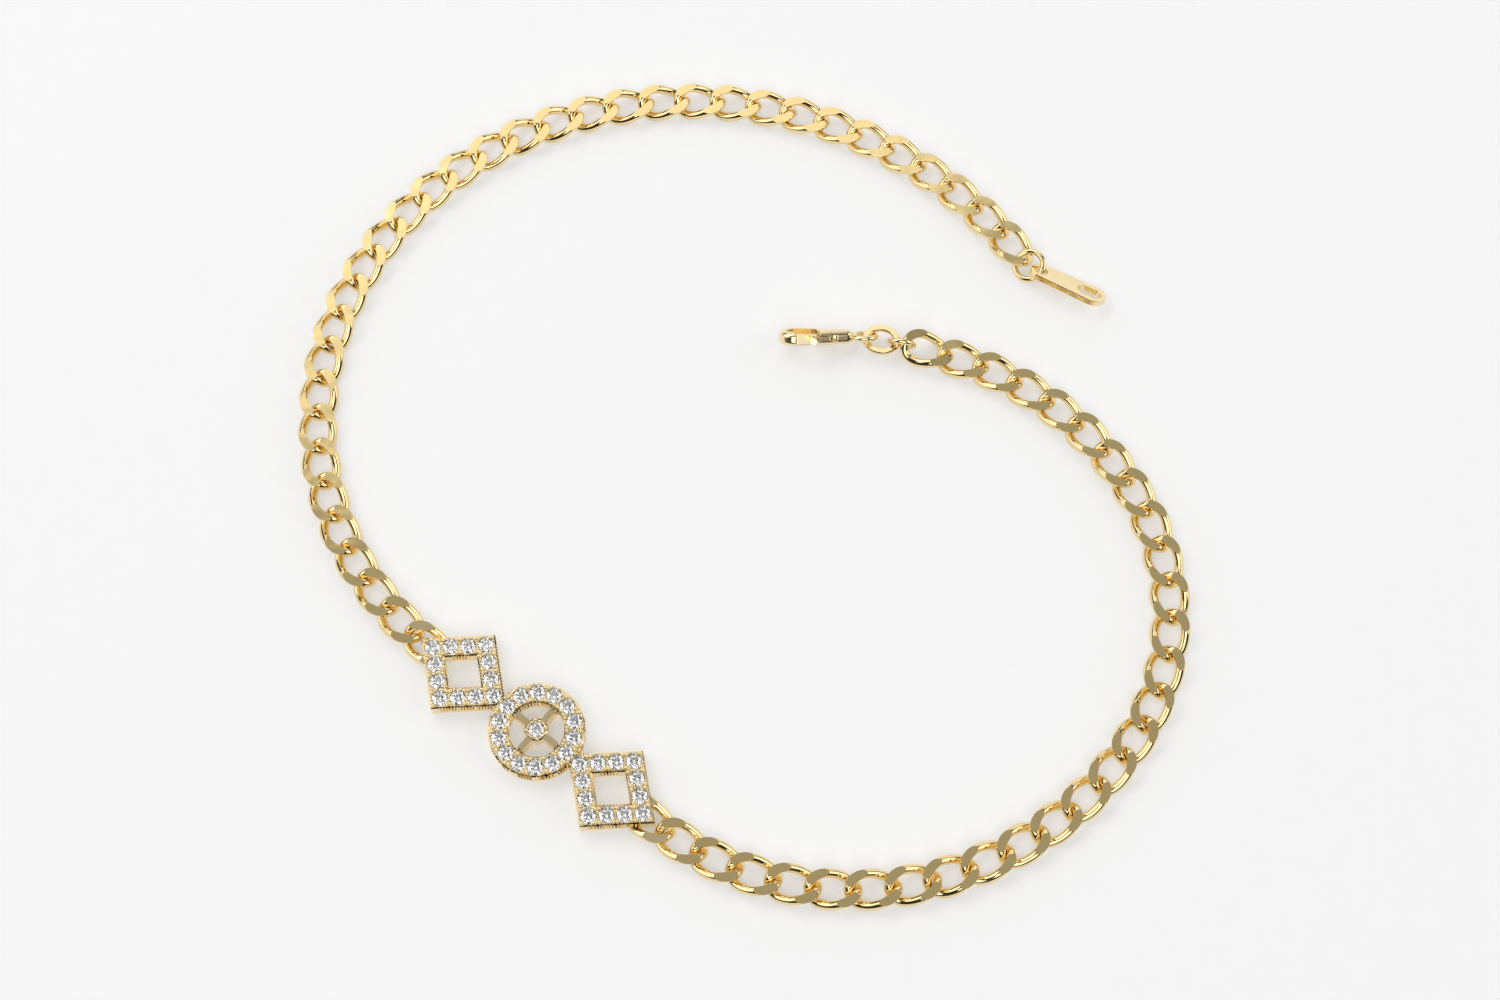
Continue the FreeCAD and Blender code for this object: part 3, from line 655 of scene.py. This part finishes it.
# The same gold round the stones, cut up by the graver: small facets that glint every way, and a
# colour paler than the plate's, which is a painted highlight on the top faces.
bright_cut_gold = polished_gold("bright_cut_gold", "#fff0c6", "#f9e2b2", 0.10, 0.08, 0.10, 0.034)
plate_mesh.materials.clear()
plate_mesh.materials.append(plate_gold)
plate_mesh.materials.append(bright_cut_gold)
# Upward faces on the plate's top take the paler copy: a painted highlight over the graver's real
# facets.
for face in plate_mesh.polygons:
    face.material_index = int(face.center.z > PLATE_THICKNESS * 0.985 and face.normal.z > 0.5)
plate = new_object("set_plate", plate_mesh)
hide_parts("nameplate")
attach(plate, "bracelet")


# Stones and their beads. Colourless round brilliants of 1.1 mm, one to each seat. Between
# them the setter has raised small beads of gold with a graver and pushed them over the girdles.

BEAD_RADIUS = 0.18 * MM
CROWN, GIRDLE, PAVILION = 0.16, 0.03, 0.43
TABLE = 0.56


def brilliant_mesh(name, radius):
    """A round brilliant with its girdle's top at z = 0: 33 crown facets and 24 below."""
    crown, girdle, pavilion = (2 * radius * part for part in (CROWN, GIRDLE, PAVILION))
    table = radius * TABLE
    eighth = math.pi / 4
    half_step = math.cos(eighth / 2)

    def ring(distance, height, start, count=8):
        turns = [start + 2 * math.pi * k / count for k in range(count)]
        return [Vector((distance * math.cos(a), distance * math.sin(a), height)) for a in turns]

    star = (table + radius) / 2
    star_height = crown * (radius - star * half_step) / (radius - table)
    lower = 0.24 * radius
    lower_height = -girdle - pavilion * (1 - lower * half_step / radius)
    points = [
        *ring(table, crown, 0),
        *ring(star, star_height, eighth / 2),
        *ring(radius, 0, 0, 16),
        *ring(radius, -girdle, 0, 16),
        *ring(lower, lower_height, eighth / 2),
        Vector((0, 0, -girdle - pavilion)),
    ]
    tables, stars, edge, edge_low, lows, culet = 0, 8, 16, 32, 48, 56
    faces = [tuple(range(8))]
    for k in range(8):
        nxt, before = (k + 1) % 8, (k - 1) % 8
        even, odd, even_next = 2 * k, 2 * k + 1, (2 * k + 2) % 16
        faces += [
            (tables + k, stars + k, tables + nxt),
            (tables + k, stars + before, edge + even, stars + k),
            (stars + k, edge + even, edge + odd),
            (stars + k, edge + odd, edge + even_next),
            (lows + k, edge_low + odd, edge_low + even),
            (lows + k, edge_low + even_next, edge_low + odd),
            (culet, lows + k, edge_low + even, lows + before),
        ]
    for k in range(16):
        faces.append((edge + k, edge_low + k, edge_low + (k + 1) % 16, edge + (k + 1) % 16))
    mesh = bpy.data.meshes.new(name)
    mesh.from_pydata(points, [], faces)
    bm = bmesh.new()
    bm.from_mesh(mesh)
    bmesh.ops.recalc_face_normals(bm, faces=bm.faces)
    bm.to_mesh(mesh)
    bm.free()
    return mesh


# Cut diamond: clear, with the high index that turns the light back up through the crown. Its
# body colour drifts a trace over about a millimetre, so that no two stones are quite alike.
stone_material, tree, output = new_material("brilliant_cut_diamond")
place = add(tree, "ShaderNodeTexCoord").outputs["Object"]
haze = add(tree, "ShaderNodeTexNoise", Vector=place, Scale=1.2 / MM, Detail=1.0)
water = add(
    tree,
    "ShaderNodeMix",
    {"data_type": "RGBA"},
    _0=haze.outputs["Fac"],
    _6=linear("#ffffff"),
    _7=linear("#fafaf8"),
)
shader = add(
    tree,
    "ShaderNodeBsdfPrincipled",
    Base_Color=water.outputs[2],
    Roughness=0.0,
    IOR=2.42,
    Transmission_Weight=1.0,
)
tree.links.new(shader.outputs[0], output.inputs[0])

brilliant = new_object("one_brilliant", brilliant_mesh("one_brilliant", STONE_RADIUS * 0.99))
stone_points = [PLATE_CENTRE + Vector((*p, GIRDLE_HEIGHT)) for p in stone_places]
stones = repeated(
    "stones",
    repeat_tree("stones_in_seats", (stone_material,)),
    stone_points,
    [Vector((0, 0, 0))] * len(stone_points),
    brilliant,
    spare=(math.radians(2.5), math.radians(2.5), math.pi),
    spread=0.02,
    seed=4,
)
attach(stones, "bracelet")


def bead_places():
    """Four beads in each gap of the rows, four round the boss's stone, two at each corner."""
    back, out = 0.13 * MM, 0.47 * MM
    for places in (ring_stones, left_stones, right_stones):
        for middle, along in gaps_of(places):
            across = Vector((along.y, -along.x))
            for s in (1, -1):
                for t in (1, -1):
                    yield middle + along * back * s + across * out * t
    for k in range(4):
        turn = math.pi / 4 + math.pi / 2 * k
        yield Vector((math.cos(turn), math.sin(turn))) * (STONE_RADIUS + BEAD_RADIUS * 0.8)
    for places, centre in ((left_stones, -LOZENGE_CENTRE), (right_stones, LOZENGE_CENTRE)):
        for corner in places[::STONES_PER_SIDE]:
            outward = (corner - Vector((centre, 0))).normalized()
            for sign in (1, -1):
                yield corner + outward * sign * (STONE_RADIUS + BEAD_RADIUS * 0.7)


bead_bm = bmesh.new()
bmesh.ops.create_icosphere(bead_bm, subdivisions=2, radius=BEAD_RADIUS)
bead_mesh = bpy.data.meshes.new("one_bead")
bead_bm.to_mesh(bead_mesh)
bead_bm.free()
bead_mesh.shade_smooth()
one_bead = new_object("one_bead", bead_mesh)
bead_points = [PLATE_CENTRE + Vector((*p, PLATE_THICKNESS + 0.01 * MM)) for p in bead_places()]
beads = repeated(
    "setting_beads",
    repeat_tree("beads_between_stones", (plate_gold,)),
    bead_points,
    [Vector((0, 0, 0))] * len(bead_points),
    one_bead,
    spare=(0.3, 0.3, 3.0),
    spread=0.18,
    seed=7,
)
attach(beads, "bracelet")
for source in (brilliant, one_bead, link):
    bpy.data.objects.remove(source)


# Rings. Three soldered jump rings of drawn gold wire: a round one for the tag, an upright round
# one on the last link, and a flattened oval one that carries the clasp.

ROUND_WIRE = 0.42 * MM
UNCUT = ROUND_WIRE + 0.01 * MM
TAG_RING_SIZE = 2.55 * MM
SMALL_RING_SIZE = 2.20 * MM
RING_STATIONS, RING_SIDES = 96, 10


def ring_piece(name, node, length, width, wire, thickness, centre, turn, material):
    """A jump ring: centre in millimetres and turn in degrees, as in the part."""
    mesh = link_mesh(name, length, width, wire, 0.0, thickness, RING_STATIONS, RING_SIDES)
    angles = Euler([math.radians(a) for a in turn], "XYZ").to_matrix().to_4x4()
    mesh.transform(Matrix.Translation(Vector(centre) * MM) @ angles)
    mesh.materials.append(material)
    piece = new_object(name, mesh)
    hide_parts(node)
    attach(piece, "bracelet")


ring_piece(
    "round_tag_ring", "tag_ring", TAG_RING_SIZE, TAG_RING_SIZE, ROUND_WIRE, UNCUT,
    (5.6449, 25.3398, 0.61), (20.0, -9.0, -1.5), wire_gold,
)
ring_piece(
    "upright_ring", "small_ring", SMALL_RING_SIZE, SMALL_RING_SIZE, ROUND_WIRE, UNCUT,
    (2.1585, 14.2414, 1.08), (75.0, 0.0, 208.0), wire_gold,
)
ring_piece(
    "flat_oval_ring", "oval_ring", 2.80 * MM, 2.35 * MM, 0.50 * MM, 0.40 * MM,
    (0.7754, 13.6111, 0.88), (0.0, 4.0, 204.5), wire_gold,
)


# End tag. A stamped bar of gold sheet with rounded, tumbled edges, a round hole for its ring
# and a slot for the clasp.


def rounded_copy(node, name, voxel, smooth, material, body):
    """A CAD node's shape again, with the soft edges that casting and tumbling leave.

    voxel is the size of the new faces in millimetres, smooth the number of softening rounds.
    """
    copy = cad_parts[node].data.copy()
    bm = bmesh.new()
    bm.from_mesh(copy)
    bmesh.ops.remove_doubles(bm, verts=bm.verts, dist=1e-7)
    bm.to_mesh(copy)
    bm.free()
    piece = new_object(f"{name}_source", copy)
    remesh = piece.modifiers.new("even", "REMESH")
    remesh.mode = "VOXEL"
    remesh.voxel_size = voxel * MM
    soften = piece.modifiers.new("tumble", "SMOOTH")
    soften.factor = 0.5
    soften.iterations = smooth
    piece = settled(piece, name)
    piece.data.shade_smooth()
    piece.data.materials.clear()
    piece.data.materials.append(material)
    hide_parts(node)
    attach(piece, body)


# Cast gold, tumbled and buffed: broad soft highlights over slightly uneven faces.
buffed_gold = polished_gold("buffed_gold", "#f8e4b4", "#f3dba6", 0.05, 0.03, 0.8, 0.0006)
rounded_copy("end_tag", "slotted_end_tag", 0.022, 8, buffed_gold, "bracelet")


# Lobster clasp. A cast gold body with a hooked nose, an open mouth and an eyelet, and a lever
# that turns on a rivet against a hidden spring, with a small knob for the thumb nail.

# Cast gold from the tumbler: even and bright, a little softer than the buffed tag.
tumbled_gold = polished_gold("tumbled_cast_gold", "#fae8bc", "#f5deac", 0.17, 0.06, 0.8, 0.0006)
rounded_copy("clasp_body", "hooked_clasp_body", 0.028, 6, tumbled_gold, "bracelet")
rounded_copy("clasp_lever", "sprung_clasp_lever", 0.018, 4, tumbled_gold, "lever")


# Floor, light and camera. A pale matt light table, lit a little from below, under a plain soft
# studio dome: a large softbox behind, smaller ones at the sides and in front with dark gaps
# between them, a grey ceiling, dark walls low down, a white reflector behind to the right and
# the camera's own dark shape.

FLOOR_REACH = 0.8
FLOOR_DROP = 0.02 * MM
GRAIN_PER_MM = 0.9
floor_mesh = bpy.data.meshes.new("table_top")
corners = [
    (x * FLOOR_REACH, y * FLOOR_REACH, -FLOOR_DROP)
    for x, y in ((-1, -1), (1, -1), (1, 1), (-1, 1))
]
floor_mesh.from_pydata(corners, [], [(0, 1, 2, 3)])
# Matt white laminate: a faint grain about a millimetre wide keeps the white from looking dead.
floor_material, tree, output = new_material("matt_white_laminate")
place = add(tree, "ShaderNodeTexCoord").outputs["Object"]
grain = add(tree, "ShaderNodeTexNoise", Vector=place, Scale=GRAIN_PER_MM / MM, Detail=3.0)
shade = add(
    tree,
    "ShaderNodeMix",
    {"data_type": "RGBA"},
    _0=grain.outputs["Fac"],
    _6=linear("#d7d7d7"),
    _7=linear("#dbdbdb"),
)
shader = add(
    tree,
    "ShaderNodeBsdfPrincipled",
    Base_Color=shade.outputs[2],
    Roughness=0.75,
    Specular_IOR_Level=0.2,
    Emission_Color=linear("#ffffff"),
    Emission_Strength=0.32,
)
tree.links.new(shader.outputs[0], output.inputs[0])
floor_mesh.materials.append(floor_material)
floor = new_object("table_top", floor_mesh)

VIEW_AZIMUTH = math.radians(38.4)
VIEW_ELEVATION = math.radians(69.7)
AIM = Vector((0.8, -1.9, 0.0)) * MM
DISTANCE = 175.4 * MM
away = Vector((-math.sin(VIEW_AZIMUTH), math.cos(VIEW_AZIMUTH), 0))
right = Vector((math.cos(VIEW_AZIMUTH), math.sin(VIEW_AZIMUTH), 0))
up = Vector((0, 0, 1))

camera_data = bpy.data.cameras.new("camera")
camera_data.lens = 58.6
camera_data.sensor_width = 36.0
camera_data.clip_start = 0.005
camera_data.clip_end = 5.0
camera = new_object("camera", camera_data)
back = -away * math.cos(VIEW_ELEVATION) + up * math.sin(VIEW_ELEVATION)
camera.location = AIM + back * DISTANCE
camera.rotation_euler = back.to_track_quat("Z", "Y").to_euler()
bpy.context.scene.camera = camera

world = bpy.data.worlds.new("studio_dome")
bpy.context.scene.world = world
world.use_nodes = True
tree = world.node_tree
tree.nodes.clear()
way = add(tree, "ShaderNodeTexCoord").outputs["Generated"]


def patch(towards, start, end, low, high):
    """How bright the dome is by its angle from one direction.

    start and end are the cosines between which it goes from the low to the high brightness.
    """
    aim = add(
        tree,
        "ShaderNodeVectorMath",
        {"operation": "DOT_PRODUCT"},
        _0=way,
        _1=towards.normalized(),
    )
    return add(
        tree,
        "ShaderNodeMapRange",
        {"interpolation_type": "SMOOTHSTEP"},
        Value=aim.outputs["Value"],
        _1=start,
        _2=end,
        _3=low,
        _4=high,
    ).outputs[0]


def joined(operation, first, second):
    """Two brightnesses as one, by the larger or the product."""
    return add(tree, "ShaderNodeMath", {"operation": operation}, _0=first, _1=second).outputs[0]


ceiling = patch(up * 0.94 + away * 0.34, 0.86, 0.94, 0.04, 0.42)
softbox = patch(away * 0.75 - right * 0.20 + up * 0.62, 0.83, 0.91, 0.0, 1.20)
right_box = patch(right * 0.85 + away * 0.10 + up * 0.45, 0.86, 0.91, 0.0, 1.42)
left_box = patch(away * 0.10 - right * 0.85 + up * 0.45, 0.86, 0.91, 0.0, 1.42)
front_box = patch(up * 0.80 - away * 0.60, 0.87, 0.92, 0.0, 1.90)
sweep = patch(away * 0.92 + right * 0.45, 0.90, 0.96, 0.0, 1.05)
total = joined("MAXIMUM", ceiling, softbox)
total = joined("MAXIMUM", total, joined("MAXIMUM", right_box, left_box))
total = joined("MULTIPLY", joined("MAXIMUM", total, front_box), patch(up, 0.06, 0.16, 0.05, 1.0))
total = joined("MULTIPLY", joined("MAXIMUM", total, sweep), patch(back, 0.985, 0.995, 1.0, 0.05))
background = add(tree, "ShaderNodeBackground", Color=linear("#ffffff"), Strength=total)
add(tree, "ShaderNodeOutputWorld", Surface=background.outputs[0])

light_data = bpy.data.lights.new("overhead_softbox", "AREA")
light_data.shape = "RECTANGLE"
light_data.size = 0.30
light_data.size_y = 0.20
light_data.energy = 0.25
light = new_object("overhead_softbox", light_data)
towards = (away * 0.5 - right * 0.55 + up * 0.85).normalized()
light.location = AIM + towards * 0.5
light.rotation_euler = towards.to_track_quat("Z", "Y").to_euler()

bpy.context.scene.view_settings.view_transform = "Standard"
